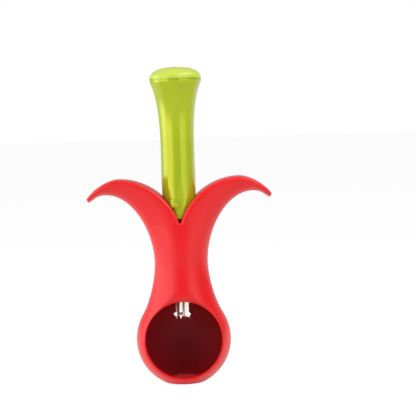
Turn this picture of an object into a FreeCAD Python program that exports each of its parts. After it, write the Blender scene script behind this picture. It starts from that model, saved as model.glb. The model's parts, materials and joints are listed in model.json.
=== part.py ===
"""Cherry pitter: a two-shell body with finger wings and a cup, and a sprung plunger.

Millimetres. +Z is up, the cup's round window faces -Y, and the origin is on the
plunger's axis in the plane of the cup's foot ring.
"""

import FreeCAD, Part
import Sketcher
import math
import os
import re
from types import SimpleNamespace

from FreeCAD import Placement, Rotation, Vector

SIZES = {
    # the cup: a ball with a round window in front and a pit outlet below
    "ball_radius": 21.3,
    "outlet_radius": 7.7,
    "foot_rim": 0.7,
    "cup_wall": 2.3,
    "ceiling_rise": 18.03,
    "window_radius": 17.0,
    "window_rise": 0.73,
    "face_depth": 13.9,
    "lip_radius": 3.2,
    # the neck and the two finger wings
    "flare_rise": 11.43,
    "flare_handle": 5.8,
    "neck_wall": 1.93,
    "neck_rise": 34.63,
    "neck_handle": 7.8,
    "saddle_rise": 52.13,
    "saddle_angle": 72.0,
    "saddle_handle": 13.5,
    "saddle_wall": 1.83,
    "arch_reach": 27.0,
    "arch_rise": 71.93,
    "arch_handle_in": 9.5,
    "arch_handle_out": 4.6,
    "arch_depth": 8.3,
    "crest_offset": 5.8,
    "crest_rise": 65.53,
    "crest_handle_in": 11.4,
    "crest_handle_out": 3.9,
    "side_handle": 14.8,
    "tip_offset": 14.3,
    "tip_rise": 64.13,
    "tip_angle": 53.0,
    "tip_handle": 5.6,
    "tip_thickness": 1.6,
    "tip_lean": 150.0,
    "tip_depth": 2.6,
    "wing_wall": 2.0,
    "core_depth": 4.6,
    # the bore for the plunger and the dowels beside it
    "bore_gap": 0.45,
    "floor_thickness": 3.6,
    "dowel_radius": 1.1,
    "dowel_length": 3.0,
    "dowel_gap": 0.1,
    "dowel_wall": 1.83,
    "dowel_rise": 60.63,
    "low_dowel_wall": 1.38,
    "low_dowel_rise": 24.03,
    # the plunger's stem and cap
    "plunger_turn": -15.0,
    "stroke": 28.0,
    "foot_gap": 2.8,
    "shaft_radius": 7.27,
    "facet_proud": 0.13,
    "facet_bulge": 0.22,
    "facet_offset": 17.2,
    "fade_proud": 1.6,
    "fade_length": 5.7,
    "waist_offset": 17.0,
    "waist_handle": 9.0,
    "knob_radius": 11.2,
    "knob_offset": 28.3,
    "knob_angle": 70.6,
    "knob_handle": 7.2,
    "cap_proud": 0.2,
    "cap_height": 4.9,
    "cap_edge": 1.6,
    "cap_handle": 6.27,
    "spigot_wall": 0.9,
    "spigot_depth": 4.0,
    "spigot_gap": 0.05,
    "lug_width": 3.9,
    "lug_height": 3.7,
    "lug_proud": 1.2,
    "lug_offset": 7.1,
    "lug_gap": 0.3,
    "ear_proud": 2.4,
    "ear_width": 4.0,
    "ear_height": 3.0,
    "ear_gap": 0.3,
    # the pitting rod and what carries it
    "rod_radius": 3.2,
    "rod_clearance": 0.4,
    "crown_proud": 1.05,
    "crown_height": 2.6,
    "flute_radius": 1.75,
    "flute_proud": 0.55,
    "notch_radius": 2.3,
    "notch_drop": 0.46,
    "holder_offset": 12.2,
    "holder_height": 11.0,
    "holder_gap": 0.03,
    "socket_depth": 8.0,
    "pin_radius": 0.75,
    "pin_offset": 5.5,
    "pin_inset": 0.1,
    "pin_chamfer": 0.15,
    "press_gap": 0.02,
    # the guide bush, its wiper and the return spring
    "bush_wall": 1.0,
    "bush_flange": 1.2,
    "rod_gap": 0.06,
    "wiper_width": 1.4,
    "wiper_height": 1.2,
    "wiper_gap": 0.03,
    "lip_edge": 0.5,
    "lip_height": 0.84,
    "washer_gap": 0.47,
    "washer_clearance": 0.4,
    "washer_thickness": 0.6,
    "wire_radius": 0.4,
    "coil_gap": 0.6,
    "hollow_gap": 0.7,
    "coil_turns": 11.0,
    "seat_turns": 1.25,
    "seat_gap": 0.05,
    "close_gap": 0.45,
}

# sizes that follow from the ones above, so that what fits together stays together
WORKED_OUT = {
    "foot_radius": "outlet_radius + foot_rim",
    "ball_level": "sqrt(ball_radius ^ 2 - foot_radius ^ 2)",
    "window_level": "ball_level + window_rise",
    "ceiling_level": "ball_level + ceiling_rise",
    "flare_level": "ball_level + flare_rise",
    "neck_level": "ball_level + neck_rise",
    "saddle_level": "ball_level + saddle_rise",
    "arch_level": "ball_level + arch_rise",
    "crest_level": "ball_level + crest_rise",
    "tip_level": "ball_level + tip_rise",
    "crest_reach": "arch_reach + crest_offset",
    "tip_reach": "arch_reach + tip_offset",
    "bore_radius": "shaft_radius + bore_gap",
    "slot_reach": "shaft_radius + ear_proud + ear_gap",
    "neck_radius": "slot_reach + neck_wall",
    "saddle_depth": "shaft_radius + lug_proud + lug_gap + saddle_wall",
    "dowel_reach": "slot_reach + dowel_radius + dowel_wall",
    "dowel_level": "ball_level + dowel_rise",
    "low_dowel_reach": "bore_radius + dowel_radius + low_dowel_wall",
    "low_dowel_level": "ball_level + low_dowel_rise",
    "floor_level": "ceiling_level + floor_thickness",
    "washer_level": "floor_level + bush_flange",
    "spring_foot": "washer_level + washer_thickness",
    "stem_foot": "spring_foot + stroke + foot_gap",
    "lug_level": "stem_foot + lug_offset",
    "facet_radius": "shaft_radius + facet_proud",
    "facet_start": "stem_foot + facet_offset",
    "waist_level": "facet_start + waist_offset",
    "knob_level": "waist_level + knob_offset",
    "cap_radius": "knob_radius + cap_proud",
    "rod_foot": "stroke + rod_clearance",
    "crown_radius": "rod_radius + crown_proud",
    "flute_reach": "rod_radius + flute_proud",
    "coil_radius": "rod_radius + coil_gap + wire_radius",
    "hollow_radius": "coil_radius + wire_radius + hollow_gap",
    "spigot_radius": "hollow_radius + spigot_wall",
    "wiper_radius": "rod_radius + wiper_width",
    "bush_radius": "wiper_radius + bush_wall",
    "washer_radius": "shaft_radius - washer_gap",
    "holder_foot": "stem_foot + holder_offset",
    "pin_level": "holder_foot + pin_offset",
}

FAR = 200.0
CLEAR = 1.0
SKIN_POINTS = 13
SKIN_HALF_ANGLE = 120.0
BALL_STATIONS = 10
CORE_STATIONS = slice(6, 10)
NECK_SHARES = (0.0, 0.3, 0.65, 1.0)
HORN_SHARES = (0.16, 0.34, 0.56, 0.78, 1.0)
TIP_SHARES = (0.25, 0.5, 0.75, 0.92, 1.0)
HORN_DRAW = 0.85
TIP_DRAW = 2.4
TIP_FULLNESS = 0.97
FACETS = 8
FADE_SHARES = (0.0, 0.25, 0.5, 0.75)
STEM_SHARES = (0.0, 0.25, 0.5, 0.7, 0.85, 1.0)
RIBS = 4
BODY_SIDES = (-1, 1)


def make_sheet(doc):
    """The spreadsheet of driving dimensions, one alias for each."""
    sheet = doc.addObject("Spreadsheet::Sheet", "sizes")
    for row, (alias, value) in enumerate(SIZES.items(), start=1):
        sheet.set(f"A{row}", alias)
        sheet.set(f"B{row}", str(value))
        sheet.setAlias(f"B{row}", alias)
    doc.recompute()
    return sheet


def formula(words):
    """The expression on the sheet's cells that these size names stand for."""

    def cell(match):
        name = match.group()
        if name in WORKED_OUT:
            return f"({formula(WORKED_OUT[name])})"
        return f"sizes.{name}" if name in SIZES else name

    return re.sub(r"[a-z_]+", cell, words)


def read_sizes(sheet):
    """Every size by name, read from the sheet's cells, for the shapes made in code."""
    names = [*SIZES, *WORKED_OUT]
    return SimpleNamespace(**{n: float(sheet.evalExpression(formula(n))) for n in names})


# outlines


def bezier(points, share):
    """A point on the cubic curve with these four poles."""
    rest = 1.0 - share
    a, b, c, d = (Vector(p) for p in points)
    return (
        a * rest**3
        + b * (3 * rest**2 * share)
        + c * (3 * rest * share**2)
        + d * share**3
    )


def bezier_edge(points):
    curve = Part.BezierCurve()
    curve.setPoles([Vector(p) for p in points])
    return curve.toShape()


def leaning(start, angle, length):
    """The point that lies this far from start, at an angle to the horizontal."""
    turn = math.radians(angle)
    return start + Vector(math.cos(turn) * length, 0, math.sin(turn) * length)


def flare_poles(z):
    """The outline from the ball up to the waist of the neck."""
    rise = z.flare_level - z.ball_level
    start = Vector(math.sqrt(z.ball_radius**2 - rise**2), 0, z.flare_level)
    along = Vector(-rise, 0, start.x).normalize()
    end = Vector(z.neck_radius, 0, z.neck_level)
    return [start, start + along * z.flare_handle, end - Vector(0, 0, z.neck_handle), end]


def top_inner_poles(z):
    """The wing's top face from the saddle between the wings to the arch."""
    start = Vector(0, 0, z.saddle_level)
    end = Vector(z.arch_reach, 0, z.arch_level)
    return [
        start,
        leaning(start, z.saddle_angle, z.saddle_handle),
        end - Vector(z.arch_handle_in, 0, 0),
        end,
    ]


def top_outer_poles(z):
    """The wing's top face from the arch to the tip."""
    start = Vector(z.arch_reach, 0, z.arch_level)
    end = Vector(z.tip_reach, 0, z.tip_level)
    return [
        start,
        start + Vector(z.arch_handle_out, 0, 0),
        leaning(end, 180.0 - z.tip_angle, z.tip_handle),
        end,
    ]


def side_inner_poles(z):
    """The neck's side from its waist to the crest of the finger rest."""
    start = Vector(z.neck_radius, 0, z.neck_level)
    end = Vector(z.crest_reach, 0, z.crest_level)
    return [
        start,
        start + Vector(0, 0, z.side_handle),
        end - Vector(z.crest_handle_in, 0, 0),
        end,
    ]


def side_outer_poles(z):
    """The finger rest from its crest to the tip."""
    start = Vector(z.crest_reach, 0, z.crest_level)
    tip = Vector(z.tip_reach, 0, z.tip_level)
    end = leaning(tip, 270.0 - z.tip_angle / 2, z.tip_thickness)
    return [
        start,
        start + Vector(z.crest_handle_out, 0, 0),
        leaning(end, z.tip_lean, z.crest_handle_out),
        end,
    ]


# the body


def oval_points(middle, side, depth, step, count):
    """Points along an oval, evenly spaced about its side."""
    points = []
    for i in range(count):
        turn = math.radians(step * (i - (count - 1) / 2))
        across = (side - middle) * math.cos(turn)
        points.append(middle + across + Vector(0, depth * math.sin(turn), 0))
    return points


def skinned(stations):
    """A solid under one smooth skin through the outer part of each station's oval."""
    step = 2 * SKIN_HALF_ANGLE / (SKIN_POINTS - 1)
    rows = [oval_points(*station, step, SKIN_POINTS) for station in stations]
    surface = Part.BSplineSurface()
    surface.interpolate(rows)
    first_u, last_u, first_v, last_v = surface.bounds()
    front = surface.vIso(first_v).toShape()
    back = surface.vIso(last_v).toShape()
    faces = [surface.toShape(), Part.makeRuledSurface(front, back)]
    for place, row in ((first_u, rows[0]), (last_u, rows[-1])):
        edges = [surface.uIso(place).toShape(), Part.makeLine(row[-1], row[0])]
        faces.append(Part.Face(Part.Wire(Part.__sortEdges__(edges))))
    shell = Part.makeShell(faces)
    shell.sewShape()
    return Part.makeSolid(Part.Shell(shell.Faces))


def saddle_share(z):
    """How far along the neck's side its height is the saddle's."""
    low, high = 0.0, 1.0
    for _ in range(40):
        share = (low + high) / 2
        if bezier(side_inner_poles(z), share).z < z.saddle_level:
            low = share
        else:
            high = share
    return low


def wing_stations(z):
    """Middle, side and half depth of each section from the neck to the wing's tip."""
    neck, side, top = side_inner_poles(z), side_outer_poles(z), top_outer_poles(z)
    inner_top = top_inner_poles(z)
    split = saddle_share(z)
    stations = []
    for share in NECK_SHARES:
        edge = bezier(neck, split * share)
        depth = z.neck_radius + (z.saddle_depth - z.neck_radius) * share**2
        stations.append((Vector(0, 0, edge.z), edge, depth))
    for share in HORN_SHARES:
        edge = bezier(neck, split + (1 - split) * share**HORN_DRAW)
        depth = z.saddle_depth + (z.arch_depth - z.saddle_depth) * share
        stations.append((bezier(inner_top, share), edge, depth))
    for share in TIP_SHARES:
        round_off = math.sqrt(1 - (share * TIP_FULLNESS) ** TIP_DRAW)
        depth = z.tip_depth + (z.arch_depth - z.tip_depth) * round_off
        stations.append((bezier(top, share), bezier(side, share), depth))
    return stations


def above_wing(z):
    """All that lies above the right wing's top face."""
    tip = top_outer_poles(z)[-1]
    past = leaning(tip, -z.tip_angle, z.tip_thickness * 4)
    corners = [past, Vector(FAR, 0, past.z), Vector(FAR, 0, FAR), Vector(0, 0, FAR)]
    corners.append(Vector(0, 0, z.saddle_level))
    edges = [
        bezier_edge(top_inner_poles(z)),
        bezier_edge(top_outer_poles(z)),
        Part.makeLine(tip, past),
    ]
    edges += [Part.makeLine(a, b) for a, b in zip(corners, corners[1:])]
    face = Part.Face(Part.Wire(Part.__sortEdges__(edges)))
    face.translate(Vector(0, -FAR / 2, 0))
    return face.extrude(Vector(0, FAR, 0))


def right_half_space():
    return Part.makeBox(FAR, 2 * FAR, 2 * FAR, Vector(0, -FAR, -FAR))


def mirrored(shape):
    return shape.mirror(Vector(0, 0, 0), Vector(1, 0, 0))


def round_station(radius, level):
    return Vector(0, 0, level), Vector(radius, 0, level), radius


def ball_stations(z):
    """The round sections from the foot ring over the ball and up the flare."""
    low = math.asin(z.foot_radius / z.ball_radius)
    high = math.acos((z.ball_level - z.flare_level) / z.ball_radius)
    stations = []
    for i in range(BALL_STATIONS):
        turn = low + (high - low) * i / (BALL_STATIONS - 1)
        level = z.ball_level - z.ball_radius * math.cos(turn)
        stations.append(round_station(z.ball_radius * math.sin(turn), level))
    for share in (0.25, 0.5, 0.75):
        point = bezier(flare_poles(z), share)
        stations.append(round_station(point.x, point.z))
    return stations


def wing_hollow(z):
    """The flat core inside the right wing, one wall inside its skin."""
    tops, sides = [], []
    for top, side, depth in wing_stations(z)[CORE_STATIONS]:
        inward = (side - top).normalize()
        thinning = 1 - math.sqrt(1 - (z.core_depth / depth) ** 2)
        tops.append(top + inward * z.wing_wall)
        sides.append(side - inward * (z.wing_wall + thinning * (side - top).Length))
    curves = []
    for points in (tops, sides):
        curve = Part.BSplineCurve()
        curve.interpolate(points)
        curves.append(curve.toShape())
    ends = [Part.makeLine(tops[0], sides[0]), Part.makeLine(tops[-1], sides[-1])]
    face = Part.Face(Part.Wire(Part.__sortEdges__(curves + ends)))
    face.translate(Vector(0, -z.core_depth, 0))
    return face.extrude(Vector(0, 2 * z.core_depth, 0))


def outer_body(z):
    """The body's outside, before it is hollowed."""
    half = skinned(ball_stations(z) + wing_stations(z))
    half = half.common(right_half_space()).cut(above_wing(z))
    return half.fuse(mirrored(half)).removeSplitter()


def cup_room(z):
    """The round room for a cherry, under a flat ceiling."""
    room = Part.makeSphere(z.ball_radius - z.cup_wall, Vector(0, 0, z.ball_level))
    below = Part.makeBox(FAR, FAR, z.ceiling_level, Vector(-FAR / 2, -FAR / 2, 0))
    return room.common(below)


def window_room(z):
    """The window with its rounded lip, and all that lies before the neck's flat face."""
    r, lip, front = z.window_radius, z.lip_radius, -z.face_depth
    start = front + lip
    middle = Vector(r + lip, start, 0)
    turn = math.radians(45)
    halfway = middle - Vector(math.cos(turn) * lip, math.sin(turn) * lip, 0)
    corners = [Vector(r + lip, front, 0), Vector(FAR, front, 0), Vector(FAR, -FAR, 0)]
    corners += [Vector(0, -FAR, 0), Vector(0, start + lip, 0), Vector(r, start + lip, 0)]
    corners.append(Vector(r, start, 0))
    edges = [Part.Arc(Vector(r, start, 0), halfway, corners[0]).toShape()]
    edges += [Part.makeLine(a, b) for a, b in zip(corners, corners[1:])]
    face = Part.Face(Part.Wire(edges))
    room = face.revolve(Vector(0, 0, 0), Vector(0, 1, 0), 360)
    room.translate(Vector(0, 0, z.window_level))
    low = Part.makeBox(FAR, FAR, z.neck_level, Vector(-FAR / 2, -FAR, 0))
    return room.common(low)


def turned(shape, angle):
    """The shape turned about the plunger's axis, from the front towards +X."""
    return shape.rotated(Vector(0, 0, 0), Vector(0, 0, 1), angle)


def lug_block(z, gap, top):
    """The square lug on the stem's front with a gap round it, or its way in the bore."""
    foot = z.lug_level - z.lug_height / 2 - gap
    reach = z.shaft_radius + z.lug_proud + gap
    width = z.lug_width + 2 * gap
    block = Part.makeBox(width, reach, top - foot, Vector(-width / 2, -reach, foot))
    return turned(block, z.plunger_turn)


def ear_bar(z, gap, foot, top):
    """The bar through both stop ears with a gap round it."""
    reach = z.shaft_radius + z.ear_proud + gap
    width = z.ear_width + 2 * gap
    corner = Vector(-reach, -width / 2, foot)
    return Part.makeBox(2 * reach, width, top - foot, corner)


def plunger_way(z):
    """The bore, the lug's way and the slots whose closed tops stop the ears."""
    bore = Part.makeCylinder(z.bore_radius, FAR, Vector(0, 0, z.floor_level))
    lug = lug_block(z, z.lug_gap, FAR)
    lug_way = lug.fuse(lug.translated(Vector(0, 0, -z.stroke)))
    low = z.stem_foot - z.stroke - 2 * z.ear_gap
    high = z.stem_foot + z.ear_height
    slots = ear_bar(z, z.ear_gap, low, high + z.ear_gap)
    return bore.fuse([lug_way, slots])


def bush_seat(z):
    """The hole in the bore's floor that holds the guide bush."""
    return Part.makeCylinder(z.bush_radius, FAR, Vector(0, 0, z.ceiling_level - CLEAR))


def dowels(z, gap, length):
    """Round dowels from the parting plane towards the front."""
    shapes = []
    for reach, level in (
        (z.dowel_reach, z.dowel_level),
        (z.low_dowel_reach, z.low_dowel_level),
    ):
        for side in BODY_SIDES:
            start = Vector(side * reach, 0, level)
            shapes.append(
                Part.makeCylinder(z.dowel_radius + gap, length, start, Vector(0, -1, 0))
            )
    return shapes


def hollow_body(z):
    """The whole body with everything cut out of it."""
    room = cup_room(z)
    outlet = Part.makeCylinder(z.outlet_radius, z.ball_level, Vector(0, 0, -CLEAR))
    core = wing_hollow(z)
    cuts = [room, window_room(z), outlet, plunger_way(z), bush_seat(z), core, mirrored(core)]
    return outer_body(z).cut(cuts)


def front_half():
    return Part.makeBox(2 * FAR, FAR, 2 * FAR, Vector(-FAR, -FAR, -FAR))


def shells(z):
    """The front shell with dowel holes and the rear shell with dowels."""
    body = hollow_body(z)
    length = z.dowel_length
    front = body.common(front_half()).cut(dowels(z, z.dowel_gap, length + z.dowel_gap))
    rear = body.cut(front_half()).fuse(dowels(z, 0, length))
    return front, rear


# the plunger


def facet_wire(z, radius, level):
    """Eight sides that bulge a little, with their ridges at this radius."""
    wire = []
    side = 360 / FACETS
    middle = radius * math.cos(math.radians(side / 2)) + z.facet_bulge
    reaches = (radius, middle, radius)
    for i in range(FACETS):
        turns = [math.radians(z.plunger_turn - 90 + side * (i + k / 2)) for k in (-1, 0, 1)]
        points = [
            Vector(r * math.cos(a), r * math.sin(a), level) for r, a in zip(reaches, turns)
        ]
        wire.append(Part.Arc(*points).toShape())
    return Part.Wire(wire)


def stem_poles(z):
    """The ridge line from the waist to the knob."""
    start = Vector(z.facet_radius, 0, z.waist_level)
    end = Vector(z.knob_radius, 0, z.knob_level)
    return [
        start,
        start + Vector(0, 0, z.waist_handle),
        leaning(end, 180 + z.knob_angle, z.knob_handle),
        end,
    ]


def fade_poles(z):
    """The ridge line below the waist, where the facets fade into the round shaft."""
    start = Vector(z.shaft_radius + z.fade_proud, 0, z.stem_foot - z.fade_length)
    end = Vector(z.facet_radius, 0, z.waist_level)
    third = (end.z - start.z) / 3
    return [
        start,
        Vector(end.x, 0, start.z + third),
        Vector(end.x, 0, end.z - third),
        end,
    ]


def faceted_stem(z):
    """The eight-sided stem, whose facets run out into the round shaft."""
    stations = [bezier(fade_poles(z), share) for share in FADE_SHARES]
    stations += [bezier(stem_poles(z), share) for share in STEM_SHARES]
    wires = [facet_wire(z, station.x, station.z) for station in stations]
    return Part.makeLoft(wires, True, False)


def round_limit(z):
    """The round outside: the shaft below, and clear of the ridges above it."""
    waist = z.facet_radius + CLEAR
    knob = z.knob_radius + CLEAR
    corners = [
        Vector(0, 0, z.stem_foot),
        Vector(z.shaft_radius, 0, z.stem_foot),
        Vector(z.shaft_radius, 0, z.facet_start),
        Vector(waist, 0, z.facet_start + 3 * CLEAR),
        Vector(waist, 0, z.waist_level),
        Vector(knob, 0, (z.waist_level + z.knob_level) / 2),
        Vector(knob, 0, z.knob_level),
        Vector(0, 0, z.knob_level),
    ]
    face = Part.Face(Part.makePolygon([*corners, corners[0]]))
    return face.revolve(Vector(0, 0, 0), Vector(0, 0, 1), 360)


def plunger_stem(z):
    """The stem with its lug, stop ears, hollow and the cap's socket."""
    stem = faceted_stem(z).common(round_limit(z))
    lug = lug_block(z, 0, z.lug_level + z.lug_height / 2)
    ears = ear_bar(z, 0, z.stem_foot, z.stem_foot + z.ear_height)
    stem = stem.fuse([lug, ears])
    top = z.knob_level - z.spigot_depth - z.spigot_gap
    foot = z.stem_foot - CLEAR
    hollow = Part.makeCylinder(z.hollow_radius, top + CLEAR - foot, Vector(0, 0, foot))
    socket = Part.makeCylinder(z.spigot_radius, FAR, Vector(0, 0, top))
    return stem.cut([hollow, socket])


def thumb_cap(z):
    """The domed cap, whose spigot closes the hollow stem."""
    low = z.knob_level
    edge = Vector(z.cap_radius, 0, low + z.cap_edge)
    top = Vector(0, 0, low + z.cap_height)
    poles = [
        edge,
        edge + Vector(0, 0, z.cap_edge),
        top + Vector(z.cap_handle, 0, 0),
        top,
    ]
    spigot = z.spigot_radius - z.spigot_gap
    shoulder = Vector(z.cap_radius - z.cap_edge, 0, low)
    turn = math.radians(45)
    halfway = shoulder + Vector(math.sin(turn), 0, 1 - math.cos(turn)) * z.cap_edge
    foot = low - z.spigot_depth
    corners = [top, Vector(0, 0, foot), Vector(spigot, 0, foot), Vector(spigot, 0, low), shoulder]
    edges = [Part.makeLine(a, b) for a, b in zip(corners, corners[1:])]
    edges += [Part.Arc(shoulder, halfway, edge).toShape(), bezier_edge(poles)]
    face = Part.Face(Part.Wire(edges))
    return face.revolve(Vector(0, 0, 0), Vector(0, 0, 1), 360)


def spring_path(z):
    """Points and directions every quarter turn, with close turns at both seats."""
    low = z.spring_foot + z.wire_radius + z.seat_gap
    high = z.holder_foot - z.wire_radius - z.seat_gap
    close = 2 * z.wire_radius + z.close_gap
    seat_rise = z.seat_turns * close
    total = z.coil_turns + 2 * z.seat_turns
    pitch = (high - low - 2 * seat_rise) / z.coil_turns

    def level(turns):
        if turns <= z.seat_turns:
            return low + turns * close, close
        if turns >= total - z.seat_turns:
            return high - (total - turns) * close, close
        return low + seat_rise + (turns - z.seat_turns) * pitch, pitch

    steps = round(total * 4)
    path = []
    for i in range(steps + 1):
        turns = total * i / steps
        angle = 2 * math.pi * turns
        height, rise = level(turns)
        place = Vector(z.coil_radius * math.cos(angle), z.coil_radius * math.sin(angle), height)
        way = Vector(-math.sin(angle), math.cos(angle), rise / (2 * math.pi * z.coil_radius))
        path.append((place, way.normalize()))
    return path


def arc_from(start, way, end):
    """The arc that leaves start along way and reaches end."""
    chord = end - start
    along = Vector(chord).normalize()
    aside = way - along * way.dot(along)
    bend = math.asin(min(1.0, aside.Length))
    middle = (start + end) * 0.5 + aside.normalize() * (chord.Length / 2 * math.tan(bend / 2))
    return Part.Arc(start, middle, end).toShape()


def biarc(start, start_way, end, end_way):
    """Two arcs that join two points with their directions."""
    across = end - start
    ways = start_way + end_way
    fall = 2 * (1 - start_way.dot(end_way))
    reach = -across.dot(ways) + math.sqrt(across.dot(ways) ** 2 + fall * across.dot(across))
    reach /= fall
    joint = (start + end + (start_way - end_way) * reach) * 0.5
    first = arc_from(start, start_way, joint)
    second = arc_from(end, end_way * -1, joint)
    return first, second


def return_spring(z):
    """One round wire along the path, and its least gap to itself."""
    path = spring_path(z)
    edges = []
    for (a, way_a), (b, way_b) in zip(path, path[1:]):
        edges += biarc(a, way_a, b, way_b)
    line = Part.Wire(Part.__sortEdges__(edges))
    ring = Part.Circle(path[0][0], path[0][1], z.wire_radius).toShape()
    tube = line.makePipeShell([Part.Wire([ring])], True, False)
    apart = min(
        (a - b).Length
        for i, (a, _) in enumerate(path)
        for b, _ in path[i + 3 :]
    )
    print(f"return_spring: least gap to itself {apart - 2 * z.wire_radius:.2f} mm")
    return tube


# pieces made of plain primitives, bound to the sheet


def bind(thing, **words):
    """Binds these properties to expressions on the sheet."""
    for name, value in words.items():
        thing.setExpression(name, formula(value))


def cylinder(doc, name, radius, height, level):
    """A cylinder on the axis whose sizes and height above the foot are bound."""
    thing = doc.addObject("Part::Cylinder", name)
    bind(thing, Radius=radius, Height=height)
    thing.setExpression("Placement.Base.z", formula(level))
    return thing


def through(doc, name, radius, level):
    """A cylinder that cuts a hole from below this level up through all above it."""
    return cylinder(doc, name, radius, str(FAR), f"{level} - {CLEAR}")


def cut(doc, name, base, tools):
    """The base less its tools."""
    tool = tools[0]
    if len(tools) > 1:
        tool = doc.addObject("Part::MultiFuse", name + "_tools")
        tool.Shapes = tools
    thing = doc.addObject("Part::Cut", name)
    thing.Base = base
    thing.Tool = tool
    thing.Label = name
    return thing


def guide_bush(doc):
    """The flanged bush that guides the rod, with a recess for the wiper."""
    radius = "bush_radius - press_gap"
    barrel = cylinder(doc, "bush_barrel", radius, "floor_thickness", "ceiling_level")
    flange = cylinder(doc, "bush_disc", "shaft_radius", "bush_flange", "floor_level")
    blank = doc.addObject("Part::MultiFuse", "bush_blank")
    blank.Shapes = [barrel, flange]
    hole = through(doc, "bush_hole", "rod_radius + rod_gap", "ceiling_level")
    recess = cylinder(doc, "bush_recess", "wiper_radius", "wiper_height", "ceiling_level")
    return cut(doc, "guide_bush", blank, [hole, recess])


def wiper_ring(doc):
    """The soft ring round the rod in the bush's recess, thin at its lip."""
    radius = "wiper_radius - press_gap"
    ring = cylinder(doc, "wiper_blank", radius, "wiper_height", "ceiling_level")
    hole = through(doc, "wiper_hole", "rod_radius + wiper_gap", "ceiling_level")
    lip = doc.addObject("Part::Cone", "wiper_lip")
    bind(lip, Radius1="wiper_radius - lip_edge", Radius2="rod_radius", Height="lip_height")
    lip.setExpression("Placement.Base.z", formula("ceiling_level"))
    return cut(doc, "wiper_ring", ring, [hole, lip])


def ring_sketch(body, outer, inner, level):
    """Two circles about the axis, in a plane at this level."""
    sketch = body.newObject("Sketcher::SketchObject", body.Name + "_rings")
    planes = [f for f in body.Origin.OriginFeatures if f.Role == "XY_Plane"]
    sketch.AttachmentSupport = (planes[0], [""])
    sketch.MapMode = "FlatFace"
    sketch.setExpression("AttachmentOffset.Base.z", formula(level))
    for index, (name, radius) in enumerate((("outer", outer), ("inner", inner))):
        draft = FAR / (index + 1)
        sketch.addGeometry(Part.Circle(Vector(0, 0, 0), Vector(0, 0, 1), draft), False)
        sketch.addConstraint(Sketcher.Constraint("Coincident", index, 3, -1, 1))
        number = sketch.addConstraint(Sketcher.Constraint("Radius", index, draft))
        sketch.renameConstraint(number, name)
        sketch.setExpression("Constraints." + name, formula(radius))
    return sketch


def spring_washer(doc):
    """The steel washer under the spring."""
    body = doc.addObject("PartDesign::Body", "spring_washer")
    hole = "rod_radius + washer_clearance"
    sketch = ring_sketch(body, "washer_radius", hole, "washer_level")
    pad = body.newObject("PartDesign::Pad", "washer_pad")
    pad.Profile = sketch
    bind(pad, Length="washer_thickness")
    return body


def cross_hole(doc, name, radius):
    """A cylinder across the axis at the pin's level."""
    hole = doc.addObject("Part::Cylinder", name)
    bind(hole, Radius=radius, Height="2 * (hollow_radius - pin_inset)")
    hole.Placement = Placement(Vector(0, 0, 0), Rotation(Vector(1, 0, 0), -90))
    hole.setExpression("Placement.Base.y", formula("pin_inset - hollow_radius"))
    hole.setExpression("Placement.Base.z", formula("pin_level"))
    return hole


def rod_holder(doc):
    """The plug in the hollow stem that holds the rod's top."""
    radius = "hollow_radius - holder_gap"
    plug = cylinder(doc, "holder_plug", radius, "holder_height", "holder_foot")
    depth = f"socket_depth + {CLEAR}"
    level = f"holder_foot - {CLEAR}"
    socket = cylinder(doc, "holder_socket", "rod_radius + holder_gap", depth, level)
    hole = cross_hole(doc, "holder_cross_hole", "pin_radius + press_gap")
    return cut(doc, "rod_holder", plug, [socket, hole])


def rod_pin(doc, z):
    """The cross pin through the holder and the rod."""
    pin = cross_hole(doc, "pin_blank", "pin_radius")
    rounded = doc.addObject("Part::Chamfer", "rod_pin")
    rounded.Base = pin
    rounded.Edges = [(edge, z.pin_chamfer, z.pin_chamfer) for edge in (1, 3)]
    rounded.Label = "rod_pin"
    return rounded


def rod_flute(doc, index):
    """One of the grooves between the rod's ribs, up to the holder."""
    height = f"holder_foot - rod_foot - {CLEAR}"
    name = f"flute_{index + 1}"
    flute = cylinder(doc, name, "flute_radius", height, f"rod_foot - {CLEAR}")
    angle = f"(plunger_turn + {360 / RIBS * (index - 0.5)}) * 1deg"
    flute.setExpression("Placement.Base.x", formula(f"flute_reach * cos({angle})"))
    flute.setExpression("Placement.Base.y", formula(f"flute_reach * sin({angle})"))
    return flute


def pitting_rod(doc):
    """The ribbed rod with a flared crown of teeth."""
    foot = "rod_foot + crown_height"
    length = f"holder_foot + socket_depth - ({foot})"
    shank = cylinder(doc, "rod_shank", "rod_radius", length, foot)
    crown = doc.addObject("Part::Cone", "rod_crown")
    bind(crown, Radius1="crown_radius", Radius2="rod_radius", Height="crown_height")
    crown.setExpression("Placement.Base.z", formula("rod_foot"))
    blank = doc.addObject("Part::MultiFuse", "rod_blank")
    blank.Shapes = [shank, crown]
    notch = doc.addObject("Part::Sphere", "crown_notch")
    bind(notch, Radius="notch_radius")
    notch.setExpression("Placement.Base.z", formula("rod_foot - notch_drop"))
    tools = [rod_flute(doc, index) for index in range(RIBS)]
    tools += [notch, cross_hole(doc, "rod_cross_hole", "pin_radius + press_gap")]
    return cut(doc, "pitting_rod", blank, tools)


def feature(doc, name, shape):
    """A sub-part whose shape is made in code."""
    thing = doc.addObject("Part::Feature", name)
    thing.Shape = shape
    thing.Placement = Placement()
    return thing


def check(doc, pieces):
    """Stops with a plain message if anything in the document failed."""
    for thing in doc.Objects:
        if "Invalid" in thing.State or "Error" in thing.State:
            raise RuntimeError(f"{thing.Name} is {thing.State}")
    for piece in pieces:
        if piece.Shape.isNull() or not piece.Shape.isValid():
            raise RuntimeError(f"{piece.Label} has no valid shape")


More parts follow.
